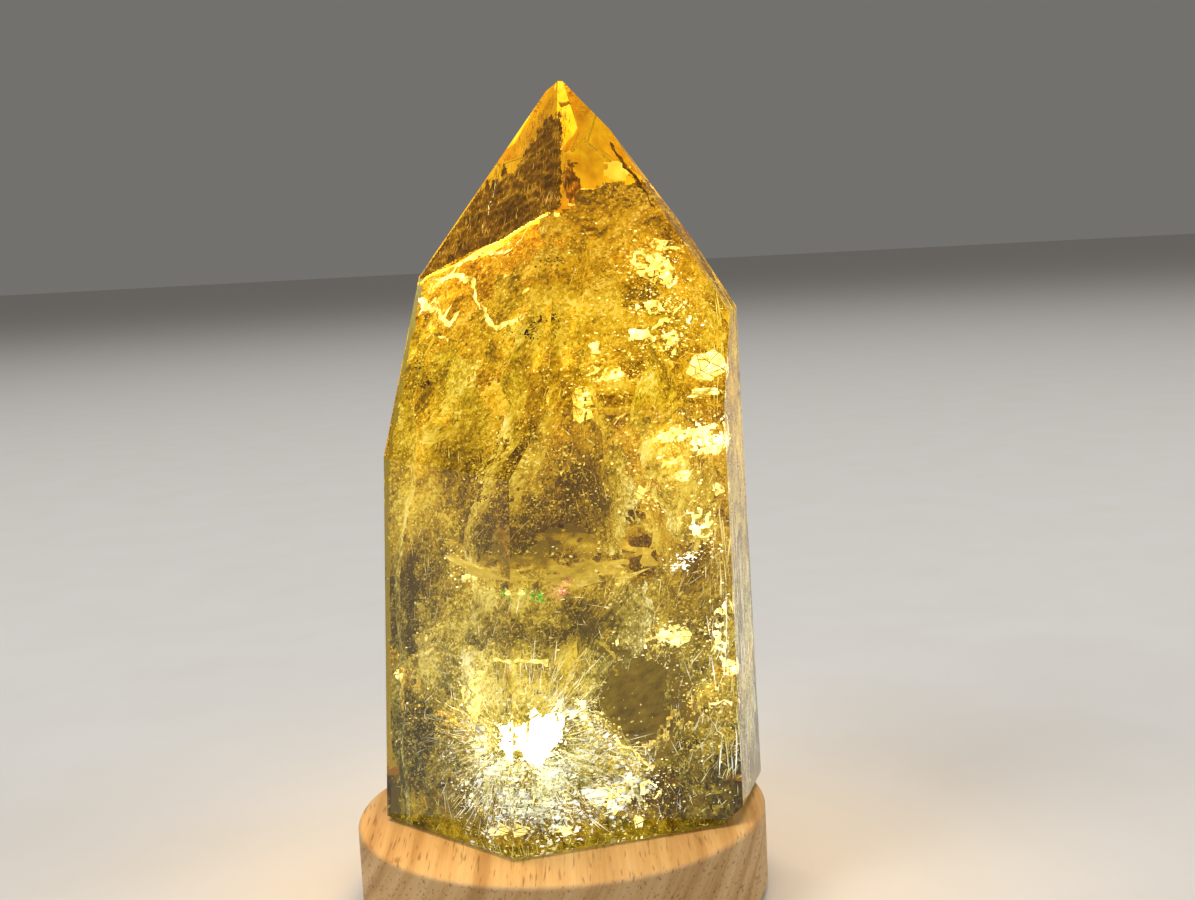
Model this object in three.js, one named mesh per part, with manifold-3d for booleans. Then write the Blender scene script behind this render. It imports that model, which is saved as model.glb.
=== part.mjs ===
// A polished quartz point standing on a round wooden light base.
// Millimetres, +Z up. The origin is on the base's axis, at the surface it stands on,
// and +Y points to the back of the base, where its power inlet is.

import * as THREE from 'three';
import { mergeVertices } from 'three/addons/utils/BufferGeometryUtils.js';
import Module from 'manifold-3d';

const wasm = await Module();
wasm.setup();

// Driving dimensions

const SEAT_GAP = 0.3; // left between pieces that rest on or in each other
const ROUND_SIDES = 96; // sides of the large turned pieces
const SMALL_ROUND_SIDES = 36; // sides of the small turned pieces

const BASE_RADIUS = 50;
const BASE_TOP = 21; // height of the wooden top over the table
const BASE_UNDERSIDE = 1; // the pad holds the wood this far off the table
const BASE_EDGE_ROUND = 1.2; // sanded edges of the wood
const EDGE_ROUND_STEPS = 4;

const WINDOW_RADIUS = 26;
const WINDOW_THICKNESS = 3;
const WINDOW_BEVEL = 0.5;
const WELL_RADIUS = 23; // lamp well under the window
const WELL_DEPTH = 11; // below the wooden top

const BOARD_RADIUS = 21;
const BOARD_THICKNESS = 1.6;
const LED_HOUSING_RADIUS = 5;
const LED_HOUSING_HEIGHT = 1.2;
const LED_LENS_RADIUS = 3.2;
const LED_LENS_STEPS = 5;

const PAD_RADIUS = 46;
const PAD_THICKNESS = 2;

const SOCKET_AXIS_HEIGHT = 11;
const SOCKET_FLANGE_RADIUS = 6;
const SOCKET_FLANGE_THICKNESS = 1.5;
const SOCKET_BODY_RADIUS = 4.2;
const SOCKET_LENGTH = 13; // flange included
const SOCKET_MOUTH_RADIUS = 2.8;
const SOCKET_MOUTH_DEPTH = 9.5;
const SOCKET_PIN_RADIUS = 1;
const SOCKET_PIN_DEPTH = 1.5; // the pin's end lies this far inside the mouth
const SOCKET_SETBACK = 1.5; // the flange's face lies this far inside the base's rim

// Each face of the crystal is a flat cut. It faces a compass direction, counted from +X
// towards +Y, and leans back from upright by an angle. A side is placed by how far from
// the base's axis it stands at the foot, and a face of the tip by the height at which it
// would cross that axis. Angles are in degrees, and heights start at the crystal's foot.
const CRYSTAL_SIDES = [
  { name: 'front right', facing: -73.5, lean: 1.0, reach: 31.5 },
  { name: 'right', facing: -14, lean: 0.5, reach: 46.6 },
  { name: 'back right', facing: 47.5, lean: 1.9, reach: 41.8 },
  { name: 'back', facing: 106, lean: 1.5, reach: 43 },
  { name: 'back left', facing: 165, lean: 2.9, reach: 39.7 },
  { name: 'front left', facing: -133, lean: 3.0, reach: 33.1 },
];
const CRYSTAL_TIP_FACES = [
  { name: 'front right', facing: -71, lean: 31.9, crossing: 148.3 },
  { name: 'right', facing: -18, lean: 34.2, crossing: 184.7 },
  { name: 'back right', facing: 33.5, lean: 27.7, crossing: 214.8 },
  { name: 'back', facing: 106.5, lean: 40, crossing: 198.7 },
  { name: 'back left', facing: 165, lean: 36.2, crossing: 175.8 },
  { name: 'front left', facing: -131, lean: 29.2, crossing: 138 },
];
const FOOT_BEVEL = 1; // ground edge round the foot
const FOOT_BEVEL_LEAN = -45;
const WIDE_FOOT_BEVEL = { side: 'right', facing: -19, lean: -47, reach: 42.7 };
const ROUGH_BLOCK_WIDTH = 120; // the block that the crystal is cut from
const ROUGH_BLOCK_HEIGHT = 190;
const WASTE_BLOCK_SIZE = 600; // larger than the rough block every way

// Tools for joining and cutting solids

function solidFrom(geometry) {
  const bare = geometry.index ? geometry.toNonIndexed() : geometry.clone();
  bare.deleteAttribute('normal');
  bare.deleteAttribute('uv');
  const merged = mergeVertices(bare, 1e-4);
  return new wasm.Manifold(new wasm.Mesh({
    numProp: 3,
    vertProperties: new Float32Array(merged.attributes.position.array),
    triVerts: new Uint32Array(merged.index.array),
  }));
}

function geometryFrom(solid) {
  const mesh = solid.getMesh();
  const geometry = new THREE.BufferGeometry();
  geometry.setAttribute('position', new THREE.BufferAttribute(mesh.vertProperties, 3));
  geometry.setIndex(new THREE.BufferAttribute(mesh.triVerts, 1));
  geometry.computeVertexNormals();
  return geometry;
}

// A round piece about +Z from its profile of [radius, height] corners, which starts and
// ends on the axis and runs upwards along the outside.
function turned(profile, sides) {
  const corners = profile.map(([radius, height]) => new THREE.Vector2(radius, height));
  const geometry = new THREE.LatheGeometry(corners, sides);
  geometry.rotateX(Math.PI / 2);
  return geometry;
}

// Corners of a quarter round, from angle `from` to angle `to`, in degrees.
function quarterRound(centreRadius, centreHeight, radius, from, to, steps) {
  const corners = [];
  for (let step = 0; step <= steps; step += 1) {
    const angle = THREE.MathUtils.degToRad(from + ((to - from) * step) / steps);
    corners.push([
      centreRadius + radius * Math.cos(angle),
      centreHeight + radius * Math.sin(angle),
    ]);
  }
  return corners;
}

// Crystal

// Outward direction of a face.
function faceNormal(facing, lean) {
  const azimuth = THREE.MathUtils.degToRad(facing);
  const elevation = THREE.MathUtils.degToRad(lean);
  return new THREE.Vector3(
    Math.cos(azimuth) * Math.cos(elevation),
    Math.sin(azimuth) * Math.cos(elevation),
    Math.sin(elevation),
  );
}

// Everything that lies outside the flat face through `point` with outward `normal`.
function wasteBeyond(point, normal) {
  const block = new THREE.BoxGeometry(WASTE_BLOCK_SIZE, WASTE_BLOCK_SIZE, WASTE_BLOCK_SIZE);
  block.translate(0, 0, WASTE_BLOCK_SIZE / 2);
  const turn = new THREE.Quaternion().setFromUnitVectors(new THREE.Vector3(0, 0, 1), normal);
  block.applyQuaternion(turn);
  block.translate(point.x, point.y, point.z);
  return solidFrom(block);
}

// Point at the foot, `reach` from the axis in the direction that a side faces.
function footPoint(facing, reach) {
  const azimuth = THREE.MathUtils.degToRad(facing);
  return new THREE.Vector3(reach * Math.cos(azimuth), reach * Math.sin(azimuth), 0);
}

function crystalCuts() {
  const cuts = [];
  for (const side of CRYSTAL_SIDES) {
    const { facing, lean, reach } = side;
    cuts.push({ point: footPoint(facing, reach), normal: faceNormal(facing, lean) });
    if (side.name !== WIDE_FOOT_BEVEL.side) {
      cuts.push({
        point: footPoint(facing, reach - FOOT_BEVEL),
        normal: faceNormal(facing, FOOT_BEVEL_LEAN),
      });
    }
  }
  for (const { facing, lean, crossing } of CRYSTAL_TIP_FACES) {
    cuts.push({ point: new THREE.Vector3(0, 0, crossing), normal: faceNormal(facing, lean) });
  }
  cuts.push({
    point: footPoint(WIDE_FOOT_BEVEL.facing, WIDE_FOOT_BEVEL.reach),
    normal: faceNormal(WIDE_FOOT_BEVEL.facing, WIDE_FOOT_BEVEL.lean),
  });
  return cuts;
}

function crystalGeometry() {
  const block = new THREE.BoxGeometry(ROUGH_BLOCK_WIDTH, ROUGH_BLOCK_WIDTH, ROUGH_BLOCK_HEIGHT);
  block.translate(0, 0, ROUGH_BLOCK_HEIGHT / 2);
  let crystal = solidFrom(block);
  for (const { point, normal } of crystalCuts()) {
    crystal = crystal.subtract(wasteBeyond(point, normal));
  }
  const geometry = geometryFrom(crystal);
  geometry.translate(0, 0, BASE_TOP + SEAT_GAP);
  return geometry;
}

// Wooden base, with a stepped well for the window and the lamp, a shallow recess under it
// for the pad, and a stepped hole from the back for the socket.

function baseBlankGeometry() {
  const round = BASE_EDGE_ROUND;
  const windowSeat = BASE_TOP - WINDOW_THICKNESS - SEAT_GAP;
  const wellFloor = BASE_TOP - WELL_DEPTH;
  const padCeiling = PAD_THICKNESS + SEAT_GAP;
  return turned([
    [0, padCeiling],
    [PAD_RADIUS + SEAT_GAP, padCeiling],
    [PAD_RADIUS + SEAT_GAP, BASE_UNDERSIDE],
    ...quarterRound(BASE_RADIUS - round, BASE_UNDERSIDE + round, round, -90, 0, EDGE_ROUND_STEPS),
    ...quarterRound(BASE_RADIUS - round, BASE_TOP - round, round, 0, 90, EDGE_ROUND_STEPS),
    [WINDOW_RADIUS + SEAT_GAP, BASE_TOP],
    [WINDOW_RADIUS + SEAT_GAP, windowSeat],
    [WELL_RADIUS, windowSeat],
    [WELL_RADIUS, wellFloor],
    [0, wellFloor],
  ], ROUND_SIDES);
}

// A cylinder that runs towards the back from y = start to past the rim.
function backHoleCutter(radius, start) {
  const length = BASE_RADIUS + 5 - start;
  const cutter = new THREE.CylinderGeometry(radius, radius, length, SMALL_ROUND_SIDES);
  cutter.translate(0, start + length / 2, SOCKET_AXIS_HEIGHT);
  return solidFrom(cutter);
}

function lightBaseGeometry() {
  const face = BASE_RADIUS - SOCKET_SETBACK;
  const ledge = face - SOCKET_FLANGE_THICKNESS - SEAT_GAP;
  const end = face - SOCKET_LENGTH - SEAT_GAP;
  const wood = solidFrom(baseBlankGeometry())
    .subtract(backHoleCutter(SOCKET_FLANGE_RADIUS + SEAT_GAP, ledge))
    .subtract(backHoleCutter(SOCKET_BODY_RADIUS + SEAT_GAP, end));
  return geometryFrom(wood);
}

// Frosted window, flush with the wood

function lightWindowGeometry() {
  const bottom = BASE_TOP - WINDOW_THICKNESS;
  return turned([
    [0, bottom],
    [WINDOW_RADIUS, bottom],
    [WINDOW_RADIUS, BASE_TOP - WINDOW_BEVEL],
    [WINDOW_RADIUS - WINDOW_BEVEL, BASE_TOP],
    [0, BASE_TOP],
  ], ROUND_SIDES);
}

// Lamp board, with the LED's housing and domed lens in its middle

function ledBoardGeometry() {
  const bottom = BASE_TOP - WELL_DEPTH + SEAT_GAP;
  const top = bottom + BOARD_THICKNESS;
  const housingTop = top + LED_HOUSING_HEIGHT;
  return turned([
    [0, bottom],
    [BOARD_RADIUS, bottom],
    [BOARD_RADIUS, top],
    [LED_HOUSING_RADIUS, top],
    [LED_HOUSING_RADIUS, housingTop],
    ...quarterRound(0, housingTop, LED_LENS_RADIUS, 0, 90, LED_LENS_STEPS).slice(0, -1),
    [0, housingTop + LED_LENS_RADIUS],
  ], SMALL_ROUND_SIDES);
}

// Felt pad, let into the underside of the wood

function footPadGeometry() {
  return turned([
    [0, 0],
    [PAD_RADIUS, 0],
    [PAD_RADIUS, PAD_THICKNESS],
    [0, PAD_THICKNESS],
  ], ROUND_SIDES);
}

// Round power socket: a flanged cup with a contact pin, opening to the back

function powerSocketGeometry() {
  const face = SOCKET_LENGTH;
  const mouthFloor = face - SOCKET_MOUTH_DEPTH;
  const socket = turned([
    [0, 0],
    [SOCKET_BODY_RADIUS, 0],
    [SOCKET_BODY_RADIUS, face - SOCKET_FLANGE_THICKNESS],
    [SOCKET_FLANGE_RADIUS, face - SOCKET_FLANGE_THICKNESS],
    [SOCKET_FLANGE_RADIUS, face],
    [SOCKET_MOUTH_RADIUS, face],
    [SOCKET_MOUTH_RADIUS, mouthFloor],
    [SOCKET_PIN_RADIUS, mouthFloor],
    [SOCKET_PIN_RADIUS, face - SOCKET_PIN_DEPTH],
    [0, face - SOCKET_PIN_DEPTH],
  ], SMALL_ROUND_SIDES);
  socket.rotateX(-Math.PI / 2);
  return socket;
}

// Materials

function material(color, roughness, extra = {}) {
  return new THREE.MeshStandardMaterial({ color, roughness, metalness: 0, ...extra });
}

const goldenQuartz = material('#e2b53a', 0.04, { transparent: true, opacity: 0.5 });
const paleWood = material('#d8b98a', 0.6);
const frostedAcrylic = material('#fff4d8', 0.4, { emissive: '#fff0c8' });
const whiteBoard = material('#eceae2', 0.5);
const blackPlastic = material('#1c1b1a', 0.45);
const darkFelt = material('#2f2b27', 0.95);

// Assembly

function piece(name, geometry, pieceMaterial) {
  const mesh = new THREE.Mesh(geometry, pieceMaterial);
  mesh.name = name;
  return mesh;
}

const powerSocket = piece('power_socket', powerSocketGeometry(), blackPlastic);
powerSocket.position.set(0, BASE_RADIUS - SOCKET_SETBACK - SOCKET_LENGTH, SOCKET_AXIS_HEIGHT);

const quartzLamp = new THREE.Group();
quartzLamp.add(piece('quartz_crystal', crystalGeometry(), goldenQuartz));
quartzLamp.add(piece('light_base', lightBaseGeometry(), paleWood));
quartzLamp.add(piece('light_window', lightWindowGeometry(), frostedAcrylic));
quartzLamp.add(piece('led_board', ledBoardGeometry(), whiteBoard));
quartzLamp.add(piece('foot_pad', footPadGeometry(), darkFelt));
quartzLamp.add(powerSocket);

export default quartzLamp;
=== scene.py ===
from functools import partial
from math import cos, pi, radians, sin, tan, tau
from random import gauss, random, seed as seed_draws, uniform

import bmesh
import bpy
from mathutils import Matrix, Vector
from mathutils.noise import noise, noise_vector, random_unit_vector as any_way, seed_set


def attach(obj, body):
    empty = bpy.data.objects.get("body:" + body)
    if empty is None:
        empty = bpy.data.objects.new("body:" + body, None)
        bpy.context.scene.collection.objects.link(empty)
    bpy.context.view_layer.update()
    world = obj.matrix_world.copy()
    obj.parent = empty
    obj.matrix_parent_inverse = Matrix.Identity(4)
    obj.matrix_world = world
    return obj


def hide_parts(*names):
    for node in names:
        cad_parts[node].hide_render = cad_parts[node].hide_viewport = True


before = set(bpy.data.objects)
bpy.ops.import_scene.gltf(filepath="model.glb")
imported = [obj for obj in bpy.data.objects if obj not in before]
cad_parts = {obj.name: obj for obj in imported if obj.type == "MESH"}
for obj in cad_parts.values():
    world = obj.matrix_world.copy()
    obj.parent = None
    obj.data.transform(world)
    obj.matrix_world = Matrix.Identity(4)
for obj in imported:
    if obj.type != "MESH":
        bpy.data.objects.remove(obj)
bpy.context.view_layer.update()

# Studio
# A wide pale table top under even light, with two large soft lamps whose reflections
# lie on the polished faces, and a camera at about the height of the crystal's point.

scene = bpy.context.scene
MM = 0.001
FLOOR_RADIUS = 40  # m
FLOOR_MOTTLE = 40  # mm
ROOM_COLOUR = "73716e"
CAMERA_PLACE = (13.3, -357.5, 154.2)  # mm
CAMERA_TILT = 7.27  # degrees down
CAMERA_ROLL = -2.98
PICTURE_WIDTH = 1195
CAMERA_FOCUS = 1500  # pixels, as is the width
SENSOR_WIDTH = 36


def linear(code):
    """An sRGB hex colour as linear red, green, blue and alpha."""
    channels = [int(code[i : i + 2], 16) / 255 for i in (0, 2, 4)]
    return [c / 12.92 if c <= 0.04045 else ((c + 0.055) / 1.055) ** 2.4 for c in channels] + [1]


def new_material(name):
    material = bpy.data.materials.new(name)
    material.use_nodes = True
    material.node_tree.nodes.clear()
    return material


def add_node(owner, kind, inputs=(), stops=(), **settings):
    """Adds one node, sets it up and gives its inputs, in order or by name, their values or
    links. stops are the (position, hex colour) pairs of a colour ramp."""
    node = owner.node_tree.nodes.new("ShaderNode" + kind)
    for name, value in settings.items():
        setattr(node, name, value)
    for position, code in stops[1:-1]:
        node.color_ramp.elements.new(position)
    for number, (position, code) in enumerate(stops):
        node.color_ramp.elements[number].position = position
        node.color_ramp.elements[number].color = linear(code)
    for name, value in inputs.items() if isinstance(inputs, dict) else enumerate(inputs):
        if isinstance(value, bpy.types.Node):
            value = value.outputs[0]
        if isinstance(value, bpy.types.NodeSocket):
            owner.node_tree.links.new(value, node.inputs[name])
        else:
            node.inputs[name].default_value = value
    return node


def fine_grained(name, grain, detail, tones, bump, **finish):
    """A material with a grain of that size in mm in two tones. bump is the grain's strength
    and depth in mm, if any, and finish the surface's other values."""
    material = new_material(name)
    add = partial(add_node, material)
    place = add("TexCoord").outputs["Object"]
    grains = add("TexNoise", {"Vector": place, "Scale": 1 / (grain * MM), "Detail": detail})
    stops = tuple(zip((0.3, 0.7), tones))
    finish["Base Color"] = add("ValToRGB", (grains,), stops)
    if bump:
        relief = {"Height": grains, "Strength": bump[0], "Distance": bump[1] * MM}
        finish["Normal"] = add("Bump", relief)
    add("OutputMaterial", {"Surface": add("BsdfPrincipled", finish)})
    return material


def finished(name, bm, material):
    """Turns a bmesh in metres into a mesh object of that material."""
    mesh = bpy.data.meshes.new(name)
    bm.to_mesh(mesh)
    bm.free()
    piece = bpy.data.objects.new(name, mesh)
    scene.collection.objects.link(piece)
    mesh.materials.append(material)
    return piece


camera_data = bpy.data.cameras.new("camera")
camera_data.sensor_width = SENSOR_WIDTH
camera_data.lens = SENSOR_WIDTH * CAMERA_FOCUS / PICTURE_WIDTH
camera_data.clip_end = 100
camera = bpy.data.objects.new("camera", camera_data)
scene.collection.objects.link(camera)
camera.matrix_world = (
    Matrix.Translation(Vector(CAMERA_PLACE) * MM)
    @ Matrix.Rotation(radians(90 - CAMERA_TILT), 4, "X")
    @ Matrix.Rotation(radians(CAMERA_ROLL), 4, "Z")
)
scene.camera = camera
scene.view_settings.view_transform = "Standard"

world = bpy.data.worlds.new("room")
world.use_nodes = True
world.node_tree.nodes["Background"].inputs["Color"].default_value = linear(ROOM_COLOUR)
scene.world = world


def soft_lamp(name, place, target, width, watts, colour="ffffff"):
    lamp = bpy.data.lights.new(name, "AREA")
    lamp.shape = "DISK"
    lamp.size = width
    lamp.energy = watts
    lamp.color = linear(colour)[:3]
    holder = bpy.data.objects.new(name, lamp)
    holder.location = place
    holder.rotation_euler = (Vector(target) - Vector(place)).to_track_quat("-Z", "Y").to_euler()
    scene.collection.objects.link(holder)
    return holder


soft_lamp("key_softbox", (-1.1, -0.7, 1.3), (0, 0, 0.08), 0.9, 9)
soft_lamp("fill_softbox", (1.3, -0.3, 0.9), (0, 0, 0.08), 0.8, 4)
soft_lamp("overhead_softbox", (0, 0.6, 3.2), (0, 0.6, 0), 3, 60)

# The table top's matt pale laminate: very slight mottling, so that it isn't one flat tone.
table_laminate = fine_grained(
    "matt_laminate", FLOOR_MOTTLE, 3, ("dedbd5", "e1deda"), None, Roughness=0.75
)

bm = bmesh.new()
bmesh.ops.create_circle(bm, cap_ends=True, segments=128, radius=FLOOR_RADIUS)
floor = finished("table_top", bm, table_laminate)

# Wooden base
# A disc turned from one pale board and sanded smooth, with a stepped well for the lamp, a
# shallow recess underneath for the pad and a stepped hole at the back for the power socket.

TURNED_SIDES = 240
SMALL_TURNED_SIDES = 72
SEAT_GAP = 0.3  # mm, as are all the sizes of the base and its fittings
BASE_RADIUS = 50
BASE_TOP = 21
BASE_UNDERSIDE = 1
TURNED_ROUND = 1.2
WINDOW_RADIUS = 26
WINDOW_THICKNESS = 3
WELL_RADIUS = 23
WELL_DEPTH = 11
PAD_RADIUS = 46
PAD_THICKNESS = 2
SOCKET_HEIGHT = 11
FLANGE_RADIUS = 6
FLANGE_THICKNESS = 1.5
SOCKET_BODY_RADIUS = 4.2
SOCKET_LENGTH = 13
SOCKET_SETBACK = 1.5
DRILL_OVERRUN = 5


def turned(steps, *profile):
    """Spins a profile of (radius, height) corners in mm about +Z into a closed shape."""
    bm = bmesh.new()
    corners = [bm.verts.new((radius * MM, 0, height * MM)) for radius, height in profile]
    lines = [bm.edges.new(pair) for pair in zip(corners, corners[1:])]
    bmesh.ops.spin(
        bm, geom=corners + lines, axis=(0, 0, 1), angle=2 * pi, steps=steps, use_merge=True
    )
    bmesh.ops.remove_doubles(bm, verts=bm.verts, dist=1e-6)
    bmesh.ops.recalc_face_normals(bm, faces=bm.faces)
    return bm


def quarter_round(radius, height, size, start=0, steps=6):
    angles = [radians(start + 90 * step / steps) for step in range(steps + 1)]
    return [(radius + size * cos(angle), height + size * sin(angle)) for angle in angles]


def smooth_shaded(piece, degrees=35):
    piece.data.shade_smooth()
    piece.data.set_sharp_from_angle(angle=radians(degrees))


# Pale maple, sanded and left bare: soft growth bands and short fine pores that run from
# front to back and cross the board at a slant, so that they show on the rim's end grain.
BAND_WIDTH = 3.2  # mm
PORE_WIDTH = 0.55  # drawn coarser than it is, so that it shows
maple = new_material("sanded_maple")
add = partial(add_node, maple)
place = add("TexCoord").outputs["Object"]
slanted = {"Vector": place, "Rotation": (0.01, 0.5, 0.02), "Scale": (1, 35, 14)}
slanted = add("Mapping", slanted, vector_type="TEXTURE")
bands = {"Scale": 1 / (BAND_WIDTH * MM), "Detail": 4, "Roughness": 0.6}
bands = add("TexNoise", {"Vector": slanted, **bands})
band_tones = (0.3, "b08852"), (0.48, "c9a46e"), (0.7, "d9bb88")
band_colour = add("ValToRGB", (bands,), band_tones)
short = {"Vector": place, "Rotation": (0, 0.5, 0.02), "Scale": (1, 15, 1.6)}
short = add("Mapping", short, vector_type="TEXTURE")
pores = add("TexNoise", {"Vector": short, "Scale": 1 / (PORE_WIDTH * MM), "Detail": 1})
pore_colour = add("ValToRGB", (pores,), ((0.28, "8a6840"), (0.4, "ffffff")))
wood_colour = add("MixRGB", (0.6, band_colour, pore_colour), blend_type="MULTIPLY")
sanding = add("MapRange", (bands, 0.3, 0.7, 0.6, 0.48))
relief = add("Bump", {"Height": pores, "Strength": 0.2, "Distance": 0.0002})
surface = {"Base Color": wood_colour, "Roughness": sanding, "Normal": relief}
add("OutputMaterial", {"Surface": add("BsdfPrincipled", surface)})

window_seat = BASE_TOP - WINDOW_THICKNESS - SEAT_GAP
rim = BASE_RADIUS - TURNED_ROUND
pad_seat = PAD_THICKNESS + SEAT_GAP
bm = turned(
    TURNED_SIDES,
    (0, pad_seat), (PAD_RADIUS + SEAT_GAP, pad_seat), (PAD_RADIUS + SEAT_GAP, BASE_UNDERSIDE),
    *quarter_round(rim, BASE_UNDERSIDE + TURNED_ROUND, TURNED_ROUND, -90),
    *quarter_round(rim, BASE_TOP - TURNED_ROUND, TURNED_ROUND),
    (WINDOW_RADIUS + SEAT_GAP, BASE_TOP), (WINDOW_RADIUS + SEAT_GAP, window_seat),
    (WELL_RADIUS, window_seat), (WELL_RADIUS, BASE_TOP - WELL_DEPTH), (0, BASE_TOP - WELL_DEPTH),
)
base = finished("wooden_base", bm, maple)

socket_face = BASE_RADIUS - SOCKET_SETBACK
for radius, start in (
    (FLANGE_RADIUS + SEAT_GAP, socket_face - FLANGE_THICKNESS - SEAT_GAP),
    (SOCKET_BODY_RADIUS + SEAT_GAP, socket_face - SOCKET_LENGTH - SEAT_GAP),
):
    bm = bmesh.new()
    length = BASE_RADIUS + DRILL_OVERRUN - start
    bmesh.ops.create_cone(
        bm, cap_ends=True, segments=SMALL_TURNED_SIDES, radius1=radius * MM, radius2=radius * MM,
        depth=length * MM,
        matrix=Matrix.Translation((0, (start + length / 2) * MM, SOCKET_HEIGHT * MM))
        @ Matrix.Rotation(pi / 2, 4, "X"),
    )
    drill = finished("drill", bm, maple)
    hole = base.modifiers.new("hole", "BOOLEAN")
    hole.object = drill
    depsgraph = bpy.context.evaluated_depsgraph_get()
    drilled = bpy.data.meshes.new_from_object(base.evaluated_get(depsgraph))
    base.modifiers.clear()
    base.data = drilled
    bpy.data.objects.remove(drill)
smooth_shaded(base)
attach(base, "root")
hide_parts("light_base")

# Foot pad
# A disc of dark pressed felt glued into the recess under the base, standing a millimetre
# proud of the wood, so that the lamp doesn't scratch a table.

PAD_BEVEL = 0.3
FIBRE_TANGLE = 1 / 1.8  # mm across: a single fibre is too fine to show

# Pressed wool felt: matt, slightly uneven, with short tangled fibres.
felt = fine_grained(
    "pressed_felt", FIBRE_TANGLE, 4, ("1d1a18", "413b36"), (0.6, 0.3),
    **{"Roughness": 0.95, "Sheen Weight": 0.4},
)
bm = turned(
    TURNED_SIDES,
    (0, 0), (PAD_RADIUS - PAD_BEVEL, 0), (PAD_RADIUS, PAD_BEVEL),
    (PAD_RADIUS, PAD_THICKNESS), (0, PAD_THICKNESS),
)
pad = finished("felt_foot_pad", bm, felt)
smooth_shaded(pad)
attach(pad, "root")
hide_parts("foot_pad")

# Lamp board
# A round white aluminium-cored board on the floor of the well, with one warm-white
# high-power LED under a domed silicone lens in its middle.

ORANGE_PEEL = 1 / 0.7  # mm across

# White solder resist on the board and the LED's ceramic body: satin, faintly mottled.
solder_resist = fine_grained(
    "white_solder_resist", ORANGE_PEEL, 2, ("e4e2da", "f1efe8"), (0.2, 0.1), Roughness=0.4
)
lamp_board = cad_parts["led_board"]
lamp_board.data.materials.clear()
lamp_board.data.materials.append(solder_resist)

# Light window
# A disc of frosted acrylic, 3 mm thick, pressed into the top of the base flush with the
# wood. It spreads the LED's light over the crystal's foot.

WINDOW_SIDES = 180
WINDOW_BEVEL = 0.5
PARTICLE_SIZE = 1 / 1.5  # mm, drawn far coarser than they are, so that they show

# Opal acrylic, sawn round and sanded satin, lit from below: brightest over the LED and
# falling off towards its edge, with the faint grain of the diffusing particles.
opal_acrylic = new_material("opal_acrylic")
add = partial(add_node, opal_acrylic)
place = add("TexCoord").outputs["Object"]
particles = add("TexNoise", {"Vector": place, "Scale": 1 / (PARTICLE_SIZE * MM), "Detail": 2})
out = add("VectorMath", (place, (0, 0, BASE_TOP * MM)), operation="DISTANCE")
out = add("MapRange", (out.outputs["Value"], 0, WINDOW_RADIUS * MM, 0, 1))
falloff = (0, "ffffff"), (0.3, "f5e3b4"), (0.7, "b98f4a"), (1, "6b4a1e")
lit = add("ValToRGB", (out,), falloff)
lit = add("MixRGB", (0.15, lit, particles), blend_type="MULTIPLY")
surface = {"Base Color": linear("f4efe2"), "Roughness": 0.45}
surface = add("BsdfPrincipled", {**surface, "Emission Color": lit, "Emission Strength": 3.0})
add("OutputMaterial", {"Surface": surface})

bm = turned(
    WINDOW_SIDES,
    (0, BASE_TOP - WINDOW_THICKNESS), (WINDOW_RADIUS, BASE_TOP - WINDOW_THICKNESS),
    *quarter_round(WINDOW_RADIUS - WINDOW_BEVEL, BASE_TOP - WINDOW_BEVEL, WINDOW_BEVEL),
    (0, BASE_TOP),
)
window = finished("frosted_light_window", bm, opal_acrylic)
smooth_shaded(window)
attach(window, "root")
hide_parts("light_window")

# Power socket
# A round moulded barrel socket pressed into the stepped hole at the back, set a little
# inside the rim, with its contact pin standing in the middle of the mouth.

MOUTH_RADIUS = 2.8
MOUTH_DEPTH = 9.5
PIN_RADIUS = 1
PIN_DEPTH = 1.5
MOULDED_ROUND = 0.3
SPARK_GRAIN = 1 / 2.2  # mm, a little coarser than it is, so that it shows

# Moulded ABS: near-black, satin, with the fine spark texture of its mould.
black_abs = fine_grained(
    "moulded_abs", SPARK_GRAIN, 2, ("141312", "262423"), (0.3, 0.1), Roughness=0.42
)

body_end = SOCKET_LENGTH - FLANGE_THICKNESS
rounding_start = SOCKET_LENGTH - MOULDED_ROUND
mouth_floor = SOCKET_LENGTH - MOUTH_DEPTH
pin_end = SOCKET_LENGTH - PIN_DEPTH
bm = turned(
    SMALL_TURNED_SIDES,
    (0, 0), (SOCKET_BODY_RADIUS, 0), (SOCKET_BODY_RADIUS, body_end),
    (FLANGE_RADIUS, body_end),
    *quarter_round(FLANGE_RADIUS - MOULDED_ROUND, rounding_start, MOULDED_ROUND, steps=4),
    (MOUTH_RADIUS + MOULDED_ROUND, SOCKET_LENGTH),
    (MOUTH_RADIUS, rounding_start), (MOUTH_RADIUS, mouth_floor),
    (PIN_RADIUS, mouth_floor), (PIN_RADIUS, pin_end - MOULDED_ROUND),
    (PIN_RADIUS - MOULDED_ROUND, pin_end), (0, pin_end),
)
bmesh.ops.rotate(bm, verts=bm.verts, matrix=Matrix.Rotation(-pi / 2, 3, "X"))
seat = (0, (socket_face - SOCKET_LENGTH) * MM, SOCKET_HEIGHT * MM)
bmesh.ops.translate(bm, verts=bm.verts, vec=seat)
socket = finished("power_inlet", bm, black_abs)
smooth_shaded(socket)
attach(socket, "root")
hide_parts("power_socket")

# Crystal
# One natural quartz point, sawn flat at the foot and polished on six sides and six tip
# faces. Its flat faces meet in sharp edges that the polishing wheel has barely broken.

POLISHED_EDGE = 0.35  # mm
WHEEL_WAVES = 1 / 0.045  # mm from one to the next

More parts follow.
